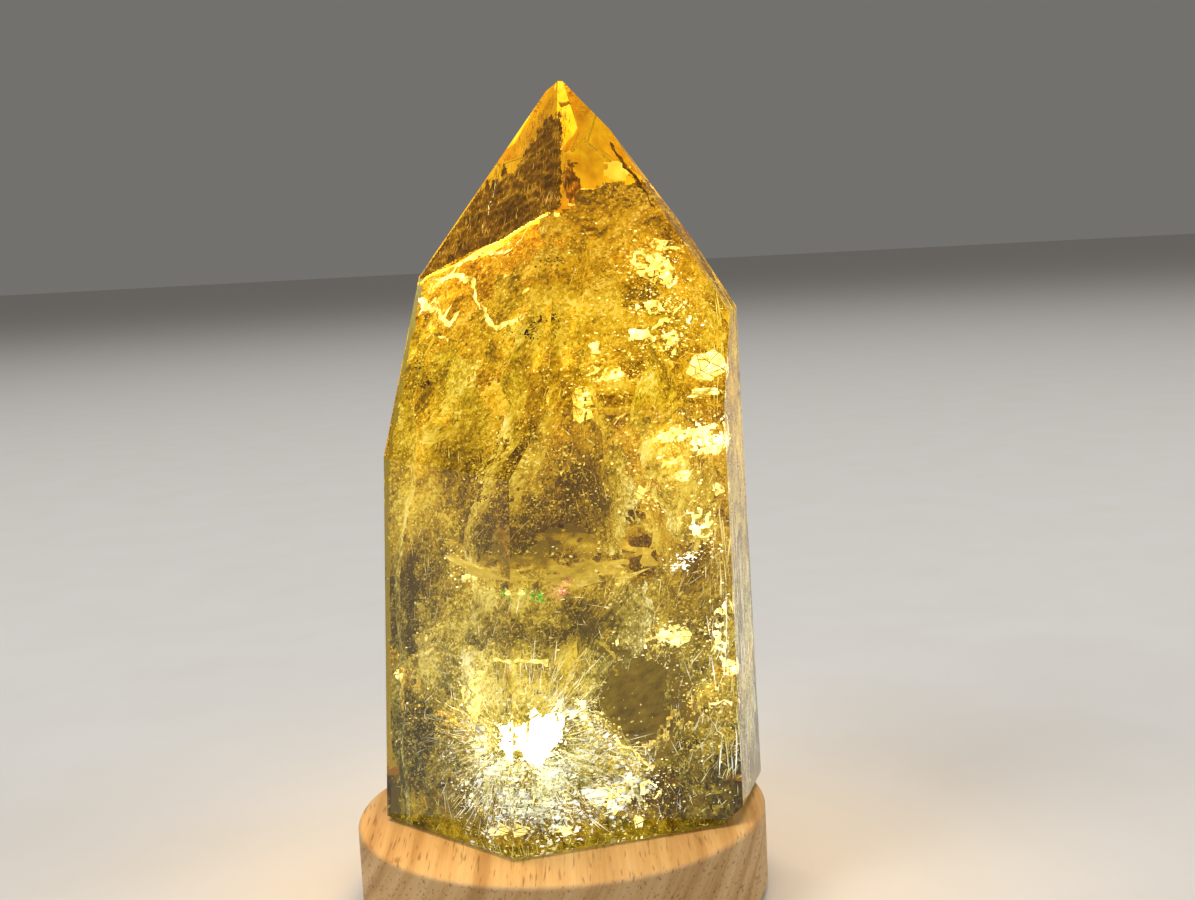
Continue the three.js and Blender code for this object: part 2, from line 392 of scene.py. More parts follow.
# Smoky to golden quartz, wheel polished: clear, with the faint waves that polishing
# leaves, and deepening from straw to brown with the thickness of stone.
quartz = new_material("polished_quartz")
add = partial(add_node, quartz)
place = add("TexCoord").outputs["Object"]
waves = add("TexNoise", {"Vector": place, "Scale": 1 / (WHEEL_WAVES * MM), "Detail": 1})
relief = add("Bump", {"Height": waves, "Strength": 0.12, "Distance": 0.001})
clear = {"Base Color": (1, 1, 1, 1), "Transmission Weight": 1, "IOR": 1.544}
surface = add("BsdfPrincipled", {**clear, "Roughness": 0.015, "Normal": relief})
stone = add("VolumeAbsorption", {"Color": (0.82, 0.74, 0.1, 1), "Density": 100})
add("OutputMaterial", {"Surface": surface, "Volume": stone})

bm = bmesh.new()
bm.from_mesh(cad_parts["quartz_crystal"].data)
bmesh.ops.remove_doubles(bm, verts=bm.verts, dist=1e-6)
bmesh.ops.dissolve_limit(bm, angle_limit=radians(0.5), verts=bm.verts, edges=bm.edges)
crystal_faces = [(face.normal.copy(), face.calc_center_median() / MM) for face in bm.faces]
bmesh.ops.bevel(
    bm, geom=bm.edges, offset=POLISHED_EDGE * MM, offset_type="OFFSET", affect="EDGES",
    segments=2, profile=0.5, material=-1, clamp_overlap=True,
)
crystal = finished("polished_quartz_point", bm, quartz)
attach(crystal, "root")
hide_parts("quartz_crystal")

# Glow
# What the lit crystal sheds on the wood and the table: one warm lamp just outside each
# polished side. They don't show themselves.

GLOW_COLOUR = "ffc860"
GLOW_WATTS = 0.026
GLOW_HEIGHT = 62  # mm above the table

for normal, centre in crystal_faces:
    if abs(normal.z) > 0.1:
        continue
    spot = Vector((centre.x, centre.y, GLOW_HEIGHT)) + normal * 1.5
    target = spot + normal * 30 - Vector((0, 0, 40))
    glow = soft_lamp("side_glow", spot * MM, target * MM, 0.05, GLOW_WATTS, GLOW_COLOUR)
    glow.visible_camera = glow.visible_glossy = glow.visible_transmission = False

# Veils
# Healed fractures inside the quartz: thin curved sheets of tiny fluid pockets, torn and
# lacy at their edges, which catch the light like crumpled gold leaf and fill the stone up
# to a sloping front below the clear point.

VEIL_CELL = 0.85  # mm, between the points of a large sheet
FINE_CELL = 0.32  # and of a small one
RIBBON_STEP = 0.5  # and along a ribbon
CLOUD_OUTLINE = [  # mm across, and up, of the crest that the veils reach
    (-45, 142), (-27, 150.5), (-17, 155), (-6, 159), (4, 164), (10, 166), (11.5, 171.5), (45, 172),
]
CLOUD_CREST = (8, 8, 0.45)  # mm across and deep in its middle, and how fast it draws back aside
CLOUD_TILT = 0.4  # down towards the back, behind the crest
CLEAR_POCKETS = [  # start, end, half width and half height in mm: here the stone stayed clear
    ((19, -28, 54), (15, 26, 46), 8, 10), ((5, -30, 93), (-4, 43, 84), 7, 3.5),
    ((20, -26, 88), (18, 40, 78), 4, 7), ((0, -36, 88), (1, -20, 85), 20, 2.5),
    ((-6, -38, 50), (-6, -26, 48), 7, 7),
]
FLAKES_IN_POCKETS = 0.12  # share of the flakes that still lie there


def start_draws(seed):
    """Makes the random draws that follow the same on every run."""
    seed_draws(seed)
    seed_set(seed)


def direction(facing, lean):
    """The way something faces: a compass angle from +X towards +Y, and up from level."""
    facing, lean = radians(facing), radians(lean)
    return Vector((cos(facing) * cos(lean), sin(facing) * cos(lean), sin(lean)))


def strayed(way, amount):
    """A unit vector that strays from a way at random."""
    return (way + amount * any_way()).normalized()


def depth_inside(point):
    """How deep a point in mm lies under the nearest polished face."""
    return min((centre - point).dot(normal) for normal, centre in crystal_faces)


def in_clear_pocket(point):
    wander = 1 + 0.7 * noise(point / 7) + 0.5 * noise(point / 2.5)
    for start, end, half_width, half_height in CLEAR_POCKETS:
        start, end = Vector(start), Vector(end)
        along = max(0, min(1, (point - start).dot(end - start) / (end - start).length_squared))
        away = point - start.lerp(end, along)
        if (away.xy.length / half_width) ** 2 + (away.z / half_height) ** 2 < wander:
            return True
    return False


def behind_crest(point):
    """How far in mm a point lies behind the crest of the veiled stone."""
    across, deep, drawn_back = CLOUD_CREST
    return point.y - deep - drawn_back * abs(point.x - across)


def height_on(outline, across):
    """The height at which a line of (across, up) points passes a place."""
    for (left, left_up), (right, right_up) in zip(outline, outline[1:]):
        if across < right:
            break
    return left_up + (right_up - left_up) * (across - left) / (right - left)


def cloud_front(point):
    """The height in mm at which the veiled stone ends above or below a point."""
    return height_on(CLOUD_OUTLINE, point.x) - CLOUD_TILT * max(0, behind_crest(point))


def in_cloud(point, margin=1.2, pockets=True):
    """Whether a point lies in the veiled part of the stone."""
    if pockets and in_clear_pocket(point):
        return False
    return point.z < cloud_front(point) + 3 * noise(point / 9) and depth_inside(point) > margin


def tear(bm, faces, gone):
    """Takes away the faces of which gone says so, given each face and its middle."""
    torn = [face for face in faces if gone(face, face.calc_center_median())]
    bmesh.ops.delete(bm, geom=torn, context="FACES")


def add_veil(
    bm, centre, facing, lean, width, height, wave, lace, seed,
    margin=1.2, cell=VEIL_CELL, strand=0, where=in_cloud,
):
    """Adds one torn, wavy sheet: wave is its bulge in mm, and more lace means more holes.

    With a strand, only a net of winding strands of about that width in mm is left of it.
    where says whether a point may hold it, given its margin to the faces."""
    normal = direction(facing, lean)
    turn_to = normal.to_track_quat("Z", "Y")
    shift = Vector((seed * 7.31, seed * 3.17, seed * 5.73))
    sheet = bmesh.ops.create_grid(
        bm, x_segments=int(width / cell), y_segments=int(height / cell), size=0.5
    )
    span = (width + height) / 2
    reach = {}
    for corner in sheet["verts"]:
        across, up = corner.co.x, corner.co.y
        spot = Vector(centre) + turn_to @ Vector((across * width, up * height, 0))
        bulge = wave * noise(spot / 26 + shift) + 0.3 * wave * noise(spot / 7 + shift)
        bulge += 0.5 * noise(spot / 1.9 + shift)
        slip = noise_vector(spot / 1.3 + shift) * cell * 0.4
        corner.co = spot + normal * bulge + slip
        ragged = 1 + 0.9 * noise(spot * 5 / span + shift)
        reach[corner] = 4 * (across * across + up * up) * ragged

    def gone(face, spot):
        weave = noise(spot / 11 + shift) + 0.6 * noise(spot / 4 + shift)
        weave += 0.5 * noise(spot / 1.5 + shift)
        edge = max(reach[corner] for corner in face.verts)
        net = abs(noise(spot / 2.4 - shift)) * 2.4 > strand
        return weave < lace + 2.2 * (edge - 0.6) or strand and net or not where(spot, margin)

    faces = dict.fromkeys(face for corner in sheet["verts"] for face in corner.link_faces)
    tear(bm, faces, gone)


def add_ribbon(bm, width, *points):
    """Adds a crumpled strip of that width that winds through the points."""
    points = [Vector(point) for point in points]
    rows = []
    for start, end in zip(points, points[1:]):
        steps = max(2, int((end - start).length / RIBBON_STEP))
        for step in range(steps):
            spot = start.lerp(end, step / steps)
            spot += noise_vector(spot / 3.5) * 1.1 + noise_vector(spot / 1.1) * 0.3
            swell = width * (0.35 + 1.1 * abs(noise(spot / 2.3 + Vector((9, 4, 2)))))
            side = (Vector((0.25, 0.3, 1)) + noise_vector(spot / 2.5)).normalized() * swell
            rows.append((bm.verts.new(spot - side), bm.verts.new(spot + side)))
    for (a, b), (c, d) in zip(rows, rows[1:]):
        bm.faces.new((a, b, d, c))


def inclusion(name, bm, material):
    """Finishes a shape made in mm as a piece that lies in the stone."""
    bmesh.ops.scale(bm, vec=(MM, MM, MM), verts=bm.verts)
    piece = finished(name, bm, material)
    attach(piece, "root")


def veil_piece(name, material, sheets, first_seed, **how):
    """Makes one piece of torn sheets, each of them given by a veil's values."""
    bm = bmesh.new()
    for seed, sheet in enumerate(sheets, first_seed):
        add_veil(bm, *sheet, seed, **how)
    inclusion(name, bm, material)


LAMP_SIDE = (0.35, -0.45, -0.8)  # the way back to the lamp from most of the stone
TONE_STOPS = (0.3, 0.48, 0.66, 0.82)
SMOKE_AND_SHADE_ZONES = [  # middle and half sizes in mm: browner stone and painted shade, where the veils get less light
    ((21, 12, 173), (16, 16, 9)), ((-4, -10, 98), (17, 70, 12)), ((-6, -5, 92), (8, 60, 8)),
    ((1, -12, 70), (12, 50, 6)), ((-27, -5, 40), (8, 40, 13)), ((-30, 0, 72), (15, 60, 15)),
    ((-34, 8, 32), (10, 26, 20)),
]
SMOKE_AND_SHADE_DEPTH = 0.2  # how many tones darker the veils are there, out of 1
LOW_TO_HIGH = (0.045, 0.12)  # m up, between which the low tones turn to the high ones: painted light, pale by the lamp and deeper gold higher up
INTO_POINT = (0.135, 0.162)


def glitter(
    name, speck, patch, low, strength, high=None, glance=0.3, creases=0, sparks=0, drawn=1,
    point_tint="ffffff", roughness=0.4, shine=0.5,
):
    """A surface in the stone that glows with painted light, though it is no lamp, in place of the
    lamp's light scattered onto it; its tones go from the low stone by the lamp to the stone near
    the point.

    speck and patch are the sizes in mm of its grain and of its lighter places. low and high
    are its four colours at both ends, from darkest to brightest, or low at both. glance is
    how much brighter, as painted shading, a facet is that is turned to the lamp, creases how
    bright the painted highlights along its thin crumpled lines are, sparks how bright its
    painted glints, a scatter of points, are, drawn how many times longer than wide its grain
    is, and point_tint the tint of the smoky stone in the point."""
    material = new_material(name)
    add = partial(add_node, material)
    place = add("TexCoord").outputs["Object"]
    patches = 1 / (patch * MM)
    drift = add("TexNoise", {"Vector": place, "Scale": patches, "Detail": 2, "Distortion": 1.2})
    upright = add("Mapping", {"Vector": place, "Scale": (1, 1, drawn)}, vector_type="TEXTURE")
    specks = 1 / (speck * MM)
    grain = add("TexNoise", {"Vector": upright, "Scale": specks, "Detail": 3, "Roughness": 0.6})
    # Painted glints: a scatter of points, brightest at their middles.
    glint_dots = add("TexVoronoi", {"Vector": upright, "Scale": specks})
    # Painted highlights along thin crumpled lines, fading in the darker places.
    creased = {"Vector": place, "Scale": 0.4 * specks, "Detail": 3, "Distortion": 1.5}
    off_crease = add("Math", (add("TexNoise", creased), 0.5), operation="SUBTRACT")
    off_crease = add("Math", (off_crease,), operation="ABSOLUTE")
    crumpled = add("MapRange", (off_crease, 0, 0.03, creases, 0))
    crumpled = (crumpled, add("MapRange", (drift, 0.42, 0.6, 0.15, 1)))
    facet = add("NewGeometry").outputs["True Normal"]
    turned_to = add("VectorMath", (facet, LAMP_SIDE), operation="DOT_PRODUCT")
    turned_to = add("Math", (turned_to.outputs["Value"],), operation="ABSOLUTE")
    parts = [
        add("MapRange", (drift, 0.3, 0.7, -0.14, 0.14)),
        add("MapRange", (turned_to, 0, 1, -0.4 * glance, 0.6 * glance)),
        add("MapRange", (glint_dots.outputs["Distance"], 0.14, 0.3, sparks, 0)),
        add("Math", crumpled, operation="MULTIPLY"),
    ]
    # Painted shade, with browner stone: the veils are darker in these zones.
    for middle, half_sizes in SMOKE_AND_SHADE_ZONES:
        zone = {"Location": Vector(middle) * MM, "Scale": Vector(half_sizes) * MM}
        offset = add("Mapping", {"Vector": place, **zone}, vector_type="TEXTURE")
        away = add("VectorMath", (offset,), operation="LENGTH").outputs["Value"]
        parts.append(add("MapRange", (away, 0.5, 1.2, -SMOKE_AND_SHADE_DEPTH, 0)))
    tone = add("MapRange", (grain, 0, 1, 0.22, 0.82))
    for part in parts:
        tone = add("Math", (tone, part), operation="ADD")
    low_tones = add("ValToRGB", (tone,), tuple(zip(TONE_STOPS, low.split())))
    high_tones = add("ValToRGB", (tone,), tuple(zip(TONE_STOPS, (high or low).split())))
    # Painted light: the tones turn from those by the lamp, low in the stone, to the high ones.
    height = add("SeparateXYZ", (place,)).outputs["Z"]
    rise = add("MapRange", (height, *LOW_TO_HIGH, 0, 1))
    colour = add("MixRGB", (rise, low_tones, high_tones))
    rise = add("MapRange", (height, *INTO_POINT, 0, 1))
    colour = add("MixRGB", (rise, colour, linear(point_tint)), blend_type="MULTIPLY")
    # Painted light: the surface glows though it is no lamp, in place of the lamp's light that the stone
    # scatters onto it.
    glow = {"Emission Color": colour, "Emission Strength": strength}
    finish = {"Roughness": roughness, "Specular IOR Level": shine}
    surface = add("BsdfPrincipled", {"Base Color": colour, **finish, **glow})
    add("OutputMaterial", {"Surface": surface})
    material.cycles.emission_sampling = "NONE"
    return material


# A healed fracture, a film of liquid pockets: it glitters, pale straw by the lamp and deep
# gold where more stone lies between. Real pockets are too fine to show, so they are drawn
# about a millimetre across.
healed_film = glitter(
    "healed_fracture_film", 1, 16, "48451c 908c50 c4c092 fafaf4", strength=0.85,
    high="6c5402 c09e04 ecd230 fffcb0", creases=0.3, sparks=0.3, point_tint="f6dcb8",
)

CURTAINS = [  # centre, facing, lean, width, height, wave, lace
    ((3, 12, 84), -95, 2, 100, 150, 8, -0.45), ((0, 4, 84), -145, 4, 90, 150, 7, -0.15),
    ((8, 6, 84), -40, -3, 90, 140, 8, -0.15), ((-22, 2, 108), -125, 4, 46, 60, 6, -0.4),
]
UPPER_VEILS = [
    ((-10, 14, 132), -110, 25, 60, 60, 7, -0.1), ((12, 2, 138), -70, 20, 60, 60, 8, 0),
    ((25, 8, 125), -60, 10, 50, 70, 8, 0), ((0, 28, 120), -95, 12, 90, 90, 9, -0.3),
    ((20, 22, 118), -80, 30, 80, 70, 8, -0.1), ((-18, 10, 115), -130, 5, 60, 70, 8, 0),
    ((5, 2, 108), -90, -20, 80, 50, 6, 0.1), ((30, -2, 112), -20, 10, 60, 60, 6, 0.05),
    ((20, 14, 157), -75, 25, 36, 34, 4, -0.3), ((16, 22, 155), -90, 40, 44, 34, 4, -0.3),
    ((20, 11, 163), -72, 8, 34, 26, 1.5, -0.8),
]
BACK_VEILS = [
    ((-28, 10, 90), 165, 3, 66, 190, 5, -0.5), ((-8, 33, 88), 106, 2, 84, 190, 5, -0.5),
    ((24, 25, 90), 47, 2, 70, 190, 5, -0.5),
]
LOWER_VEILS = [
    ((5, 30, 75), -90, 5, 90, 90, 9, -0.2), ((-20, 5, 80), -140, 8, 60, 80, 7, 0.05),
    ((30, 8, 75), -30, 12, 60, 80, 7, 0), ((-10, 0, 60), -100, -15, 60, 50, 7, 0.1),
    ((15, 15, 55), -70, 25, 80, 60, 8, 0.1), ((0, -8, 45), -95, 30, 70, 40, 6, 0.15),
    ((-5, 20, 40), -85, -5, 80, 40, 6, -0.1),
]
start_draws(10)
veil_piece("veil_curtains", healed_film, CURTAINS, 31)
veil_piece("upper_veils", healed_film, UPPER_VEILS, 1)
veil_piece("lower_veils", healed_film, LOWER_VEILS, 21)
veil_piece("back_veils", healed_film, BACK_VEILS, 41)

# Growth front
# Behind its crest the cloud ends in a smooth skin, where the crystal once stopped growing
# for a while. Mirrored in the back faces, it fills the point with light.

FRONT_SPAN = (-28, 28, 10, 46)  # mm: the skin's left, right, near and far ends

# A smooth skin of dust-fine inclusions: bright lemon gold, hardly speckled.
growth_skin = glitter(
    "growth_skin", 1.5, 12, "d8b040 f2d060 ffe890 fff4c0", strength=2.4,
    high="c89018 f0c434 ffe870 fff8b0",
)


def flat_sheet(left, right, near, far):
    """A flat sheet over a span in mm, with cells half a millimetre wide."""
    bm = bmesh.new()
    bmesh.ops.create_grid(bm, x_segments=2 * (right - left), y_segments=2 * (far - near), size=0.5)
    for corner in bm.verts:
        corner.co.x = (left + right) / 2 + corner.co.x * (right - left)
        corner.co.y = (near + far) / 2 + corner.co.y * (far - near)
    return bm


bm = flat_sheet(*FRONT_SPAN)
for corner in bm.verts:
    corner.co.z = cloud_front(corner.co) + 1.2 * noise(corner.co / 7) - 1


def front_ends(face, spot):
    left, right = FRONT_SPAN[:2]
    ragged = 1.2 * noise(spot / 2.5)
    inset = min(spot.x - left, right - spot.x, behind_crest(spot) + (1 if spot.x < 8 else -4))
    return inset < 0.5 + 0.7 * ragged or depth_inside(spot) < 0.4


tear(bm, bm.faces, front_ends)
inclusion("growth_front", bm, growth_skin)

# Honey films
# Healed cracks in the clear point: one close inside its back faces and a small brighter one.
# Seen straight, or mirrored in the back faces, they fill the point with amber.

BACKING_SPAN = (-26, 31, 146, 182)  # mm: the backing film's left, right, lower and upper ends
BACKING_SETBACK = 1.1  # mm inside the back faces
HONEY_PATCH = ((21, 17, 173.5), -80, 10, 7, 6, 0.3, -0.9)  # as a veil's values

# A film of liquid with hardly a bubble in it: clear deep honey, the same all over.
honey_film = glitter(
    "honey_film", 4, 12, "be9810 dcba18 ecd434 ffe878", strength=1.05, glance=0.1, shine=0
)
# The same liquid in a crack that mirrors the lamp: pale lemon.
honey_patch = glitter("pale_honey_film", 4, 10, "f0c438 f8e050 fff080 fffac0", strength=1.2, glance=0.1)


def in_clear_point(point, margin):
    return point.z > cloud_front(point) and depth_inside(point) > margin


bm = flat_sheet(*BACKING_SPAN)
back_faces = [face for face in crystal_faces if abs(face[0].z) < 0.1 and face[0].y > 0.6]
for corner in bm.verts:
    foot = Vector((corner.co.x, 0, corner.co.y))
    inset = BACKING_SETBACK + 0.3 * noise(foot / 8)
    corner.co = foot
    corner.co.y = min(
        ((centre - foot).dot(normal) - inset) / normal.y for normal, centre in back_faces
    )


def backing_ends(face, spot):
    left, right, low, high = BACKING_SPAN
    weave = noise(spot / 4) + 0.6 * noise(spot / 1.5)
    inset = min(spot.x - left, right - spot.x, spot.z - low)
    return weave < 0.5 - inset / 5 or depth_inside(spot) < 0.2


tear(bm, bm.faces, backing_ends)
inclusion("honey_backing", bm, honey_film)

veil_piece(
    "honey_patch", honey_patch, [HONEY_PATCH], 51,
    margin=0.5, cell=FINE_CELL, where=in_clear_point,
)

# Painted shade in the point
# A torn dark sheet close under the front left face, with a small one behind it, paints the
# shade in the clear point as smoky stone, with golden tubes as fine as hairs around it.

SHADE_SHEET_OUTLINE = [  # mm across, and up, of the sheet's top
    (-45, 168), (-16, 169), (-9.5, 175.5), (-1.7, 177), (-0.5, 180.5), (2.3, 183.5), (5.5, 188),
    (8, 189.5), (30, 189.5),
]
SHADE_SHEETS = [  # as a veil's values
    ((-11, 15.8, 165), -131, 29.2, 84, 84, 0.5, -0.75), ((8.4, 22, 168), -83, 0, 4.4, 18, 0.6, -0.6),
]
SHADE_SHEET_EDGE = (0.8, (20.1, 16.5, 182), (25, 12.8, 173.5), (30.3, 9, 165))  # width, then its points
TUBES = 1100
SHADE_SHEET_CELL = 0.42  # mm
TUBE_ZONE = ((-28, 9), (0, 30), (150, 188))  # mm across, deep and up
TUBE_DEPTHS = (0.5, 5)  # mm under the face

# Painted shade, drawn as smoke-brown quartz with mineral dust: dull umber with paler upright lines,
# almost unlit.
shade_in_point = glitter(
    "painted_shade_smoke_brown", 0.6, 6, "4c3202 744c04 a8780e f0c040", strength=0.8, creases=0.12,
    sparks=0.2, drawn=3, roughness=0.8, shine=0,
)


def add_sliver(bm, start, along, side, far_side=0.6):
    """Adds a thin pointed splinter that runs along a vector and bulges to both sides."""
    spots = start, start + along * 0.4 + side, start + along, start + along * far_side - side
    bm.faces.new([bm.verts.new(spot) for spot in spots])


def in_point_shade(point, margin):
    ragged = 3.5 * noise(Vector((point.x / 0.9, 0, point.z / 12)))
    top = height_on(SHADE_SHEET_OUTLINE, point.x) + ragged
    return cloud_front(point) + 1 < point.z < top and depth_inside(point) > margin


bm = bmesh.new()
for seed, sheet in enumerate(SHADE_SHEETS, 61):
    add_veil(bm, *sheet, seed, margin=0.5, cell=SHADE_SHEET_CELL, where=in_point_shade)
add_ribbon(bm, *SHADE_SHEET_EDGE)
inclusion("shaded_smoky_sheet", bm, shade_in_point)

# A hollow tube in the shaded point: it catches the amber light along its length.
golden_tube = glitter("golden_tube", 1, 8, "8a5c10 c08c24 ecc458 fff0a8", strength=0.9)
bm = bmesh.new()
start_draws(16)
made = 0
while made < TUBES:
    spot = Vector([uniform(*ends) for ends in TUBE_ZONE])
    length = uniform(0.5, 4)
    way = strayed(Vector((0.05, 0.3, 1)), 0.25)
    if not in_point_shade(spot, TUBE_DEPTHS[0]) or depth_inside(spot) > TUBE_DEPTHS[1]:
        continue
    if depth_inside(spot + way * length) < TUBE_DEPTHS[0]:
        continue
    side = Vector((1, 0.3 * uniform(-1, 1), 0)) * uniform(0.05, 0.2)
    add_sliver(bm, spot, way * length, side)
    made += 1
inclusion("golden_tubes", bm, golden_tube)

# Cloud of flakes
# Between the veils the stone is full of flat cracks, each about a millimetre or less, in
# drifts that thin out towards the clear places.

FLAKES = 30000
FLAKE_SIZES = (0.2, 1.1)  # mm
CLOUD_SPAN = ((-43, 51), (-37, 48), (23, 174))  # mm across, deep and up


def add_flake(bm, centre, normal, size, squash):
    """Adds one flat five-cornered chip."""
    turn_to = normal.to_track_quat("Z", "Y")
    spin = uniform(0, 6)
    corners = []
    for step in range(5):
        angle = spin + step * tau / 5
        reach = size * uniform(0.3, 0.62)
        offset = Vector((reach * cos(angle), reach * sin(angle) * squash, 0))
        corners.append(bm.verts.new(centre + turn_to @ offset))
    bm.faces.new(corners)


def random_place():
    return Vector([uniform(*ends) for ends in CLOUD_SPAN])


# A flake lies loose in its own crack, so air mirrors on it: paler than the veils behind.
loose_flake = glitter(
    "loose_flake", 1.1, 20, "8e875c cfcaa8 f4f2e4 ffffff", strength=1.1,
    high="a88a08 dcbc20 fcee78 fffff0", glance=0.5,
)
bm = bmesh.new()
start_draws(11)
made = 0
while made < FLAKES:
    spot = random_place()
    drift = noise(spot / 17) + 0.6 * noise(spot / 6)
    buried = min(1, max(0.1, (depth_inside(spot) - 1) / 8))
    if random() > (0.35 + 1.8 * drift) * buried:
        continue
    if not in_cloud(spot, 0.8, random() > FLAKES_IN_POCKETS):
        continue
    lie = strayed(noise_vector(spot / 14), 0.45)
    size = FLAKE_SIZES[0] + (FLAKE_SIZES[1] - FLAKE_SIZES[0]) * random() ** 2.2
    add_flake(bm, spot, lie, size, uniform(0.4, 1))
    made += 1
inclusion("flake_cloud", bm, loose_flake)

# Needles
# Hair-fine hollow tubes and stress lines, which scatter light along their length. They run
# up the stone, more of them near the foot, spread in a fan from above the lamp, and lie as
# upright streaks under the narrow right face.

NEEDLES = 2600
NEEDLE_WIDTH = 0.11  # mm
FAN_NEEDLES = 1100
FAN_MIDDLE = (-6, -20, 45)
FACE_STREAKS = 300  # upright, just under the narrow right face
STREAK_LENGTHS = (2, 13)  # mm


def add_needle(bm, start, way, length, width):
    side = way.cross(any_way()).normalized() * width
    add_sliver(bm, start, way * length, side, 0.4)


# An open hair crack or hollow tube mirrors the lamp: nearly white low in the stone, and
# lemon yellow higher up.
open_crack = glitter(
    "open_crack", 0.9, 8, "84847c b8bec4 dae2f6 f0f6ff", strength=1.5,
    high="8c6c14 d2ac30 f2dc80 fffbe0",
)
bm = bmesh.new()
start_draws(12)
made = 0
while made < NEEDLES:
    spot = random_place()
    if random() > 1.15 - spot.z / 150 or not in_cloud(spot, 2):
        continue
    way = (Vector((0, 0, 1)) + 1.6 * noise_vector(spot / 20)).normalized()
    way = strayed(way, 0.5)
    length = uniform(1.5, 6)
    if in_cloud(spot + way * length, 1):
        add_needle(bm, spot, way, length, NEEDLE_WIDTH * uniform(0.5, 1.3))
        made += 1
made = 0
while made < FAN_NEEDLES:
    way = any_way()
    spot = Vector(FAN_MIDDLE) + way * uniform(5, 24)
    way = strayed(way, 0.3)
    length = uniform(2, 9)
    if in_cloud(spot, 1) and in_cloud(spot + way * length, 1):
        add_needle(bm, spot, way, length, NEEDLE_WIDTH * uniform(0.6, 1.5))
        made += 1
inclusion("needles", bm, open_crack)

right_normal, right_centre = max(
    (face for face in crystal_faces if abs(face[0].z) < 0.1), key=lambda face: face[0].x
)
along_face = right_normal.cross((0, 0, 1)).normalized()
bm = bmesh.new()
start_draws(18)
made = 0
while made < FACE_STREAKS:
    across, up = uniform(-20, 20), uniform(24, 140)
    spot = Vector((right_centre.x, right_centre.y, 0)) + along_face * across + Vector((0, 0, up))
    spot -= right_normal * (uniform(1, 7) + (spot - right_centre).dot(right_normal))
    length = uniform(*STREAK_LENGTHS)
    way = strayed(Vector((0, 0, 1)), 0.16)
    if depth_inside(spot) < 0.8 or depth_inside(spot + way * length) < 0.8:
        continue
    side = (along_face + 0.4 * any_way()) * uniform(0.05, 0.4)
    add_sliver(bm, spot, way * length, side)
    made += 1
inclusion("upright_streaks", bm, open_crack)

# Bright cracks
# Open cracks that mirror the lamp: winding ribbons, long thin threads, ragged plates,
# crumpled masses with splinters round them, and a crazed plate on the right.

RIBBONS = [  # width in mm, then the points it follows
    (0.7, (-25, 20, 150), (-20, 17, 151), (-15, 15, 155), (-10, 12, 156), (-6, 8, 156), (-3, 6, 157)),
    (0.3, (-3, 6, 157), (0, 7, 160), (2, 8, 163), (5, 6, 165)),
    (0.25, (-7.7, 19.4, 175), (-10, 16, 167), (-12.5, 12.6, 158.6)),
    (1.3, (-25, 21, 147), (-20, 18, 150), (-17, 16, 150), (-13, 12, 149), (-12, 8, 144),
     (-10, 2, 140), (-8, -2, 138), (0, -6, 140)),
    (1.4, (-28, 19, 145), (-24, 14, 143), (-20, 8, 139), (-17, 7, 142)),
    (0.9, (-28, 19, 141), (-24, 14, 146), (-22, 12, 141), (-19, 11, 144)),
    (0.8, (-6, 4, 150), (-4, 3, 147), (-1, 2, 144), (2, 0, 146)),
    (0.5, (-26, 11, 136), (-23, 9, 137), (-20, 5, 135)),
    (1.1, (-3, 6, 148), (-2, 4, 146), (0, 1, 145)), (0.4, (-6, 3, 136), (-2, 2, 138), (2, -1, 139)),
    (0.5, (23, 11, 157), (25, 13, 159), (28, 15, 161)),
    (1, (26, -3, 135), (29, -1, 137), (30, -1, 137), (36, 4, 141)),
    (1.2, (29, -5, 131), (31, -3, 133), (33, -3, 132)),
    (1, (25, -16, 112), (29, -14, 114), (35, -13, 114)),
    (0.8, (21, -16, 99), (25, -15, 105), (28, -14, 107), (33, -12, 108)),
    (0.6, (20, -16, 95), (21, -15, 99), (24, -14, 103), (27, -13, 106)),
    (0.7, (8, 13, 165), (11, 14, 164), (14, 14, 162)),
    (0.8, (-9, -20, 64), (-5, -19, 64), (-1, -18, 63)),
    (0.7, (-18, -16, 64), (-16, -18, 67), (-15, -19, 69)),
    (0.9, (-15, -17, 50), (-14, -18, 54), (-13, -19, 57)),
    (0.7, (13, -15, 43), (17, -13, 39), (21, -12, 35)),
    (0.6, (36, -16, 50), (39, -15, 50), (42, -14, 49)),
    (1, (37, -15, 62), (38, -15, 64), (39, -14, 66)),
]
PLATES = [  # centre, facing, lean, width, height, cracks
    ((27, 5, 149), -80, 20, 6, 7, 9), ((31, 6, 149), -60, 10, 5, 8, 9),
    ((32, 10, 155), -75, 30, 9, 4, 7), ((38, -14, 121), -75, 15, 11, 3.5, 4),
    ((39, -14, 112), -80, 10, 10, 7, 10), ((9, -12, 120), -85, 10, 5, 5, 7),
    ((32, -15, 104), -80, 15, 5, 3, 6), ((22, -18, 101), -70, 10, 4, 3, 5),
    ((40, -14, 100), -70, 20, 4, 3, 5), ((41, -15, 72), -70, 10, 2.5, 6, 6),
    ((41, -15, 58), -75, 10, 5, 6, 7), ((28, -16, 67), -80, 15, 8, 5, 10),
    ((-28, -6, 74), -130, 10, 3, 3, 5), ((-35, -2, 57), -130, 15, 4, 3, 5),
    ((-6, -26, 81), -110, 10, 2, 2, 4), ((10, -16, 29), -85, 20, 9, 9, 16),
    ((-11, -24, 25.5), -100, 10, 8, 3, 8), ((1, -24, 24.5), -85, 10, 7, 3, 8),
    ((18, -20, 24), -80, 10, 3, 4, 5),
]
STRAND = 0.45  # mm
